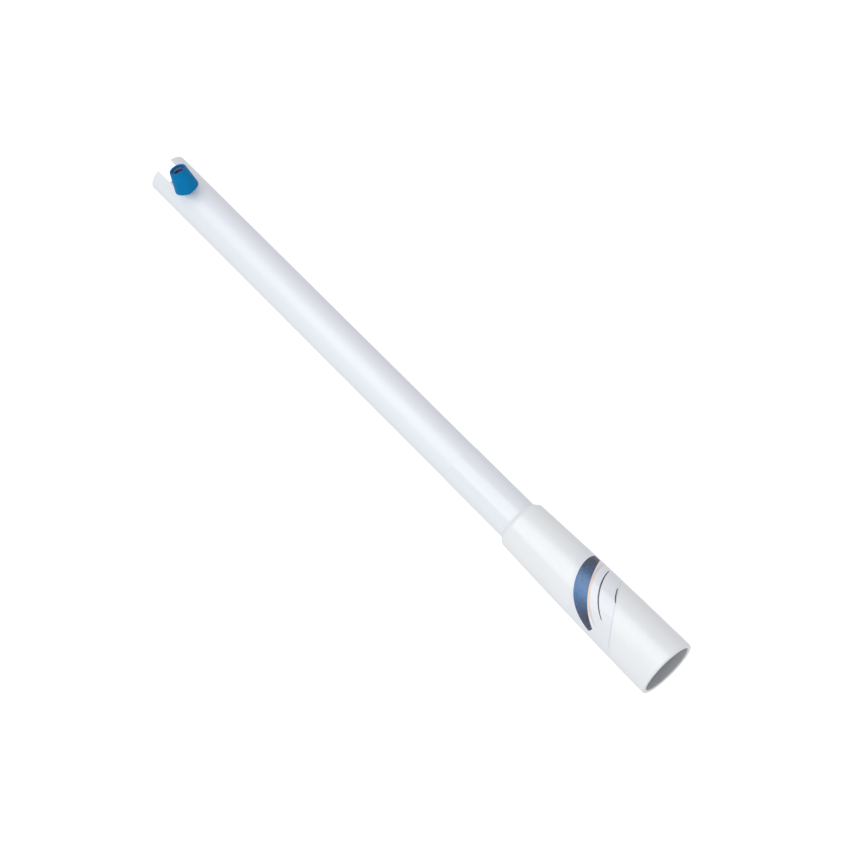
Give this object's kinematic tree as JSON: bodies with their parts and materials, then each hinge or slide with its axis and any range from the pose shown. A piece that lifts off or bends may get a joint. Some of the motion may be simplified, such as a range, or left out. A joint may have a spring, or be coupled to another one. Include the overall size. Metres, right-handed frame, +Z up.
{
  "type": "extension mast",
  "caption": "Slotted tube mast with a tapered, internally threaded base ferrule and a leaning hollow cable outlet boot at the slotted tip.",
  "frame": {"origin": "on the mast's axis, at the middle of the female base thread", "axes": "+X along the mast from the open mouth of the base ferrule to the slotted tip; +Z up, out through the slot that holds the cable outlet; the mast lies flat"},
  "size_m": [0.424, 0.0368, 0.0498],
  "materials": {
    "tube": "white gel-coated fibreglass, satin",
    "sleeve": "white shrunk sleeve, glossy",
    "ferrule": "white moulded nylon, semi-gloss",
    "insert": "turned stainless steel",
    "spring_steel": "spring steel wire, satin",
    "black_rubber": "moulded rubber, matt",
    "stem": "blue moulded nylon",
    "boot": "blue moulded elastomer, satin",
    "boot_seal": "dark violet-grey soft rubber",
    "label": "clear printed film, glossy"
  },
  "bodies": {
    "mast": {"mast_tube": "tube", "root_sleeve": "sleeve", "ferrule_shell": "ferrule", "thread_insert": "insert", "insert_retaining_ring": "spring_steel", "seat_gasket": "black_rubber", "neck_seal": "black_rubber", "label_film": "label"},
    "outlet": {"outlet_stem": "stem"},
    "boot": {"cable_boot": "boot", "boot_seal": "boot_seal"}
  },
  "joints": [
    {"name": "outlet_slide", "type": "slide", "parent": "mast", "child": "outlet", "axis": [1, 0, 0], "range_m": [0, 0.034]},
    {"name": "boot_turn", "type": "hinge", "parent": "outlet", "child": "boot", "pos_m": [0.37085, 0, 0.01285], "axis": [0, 0, 1], "continuous": true}
  ]
}
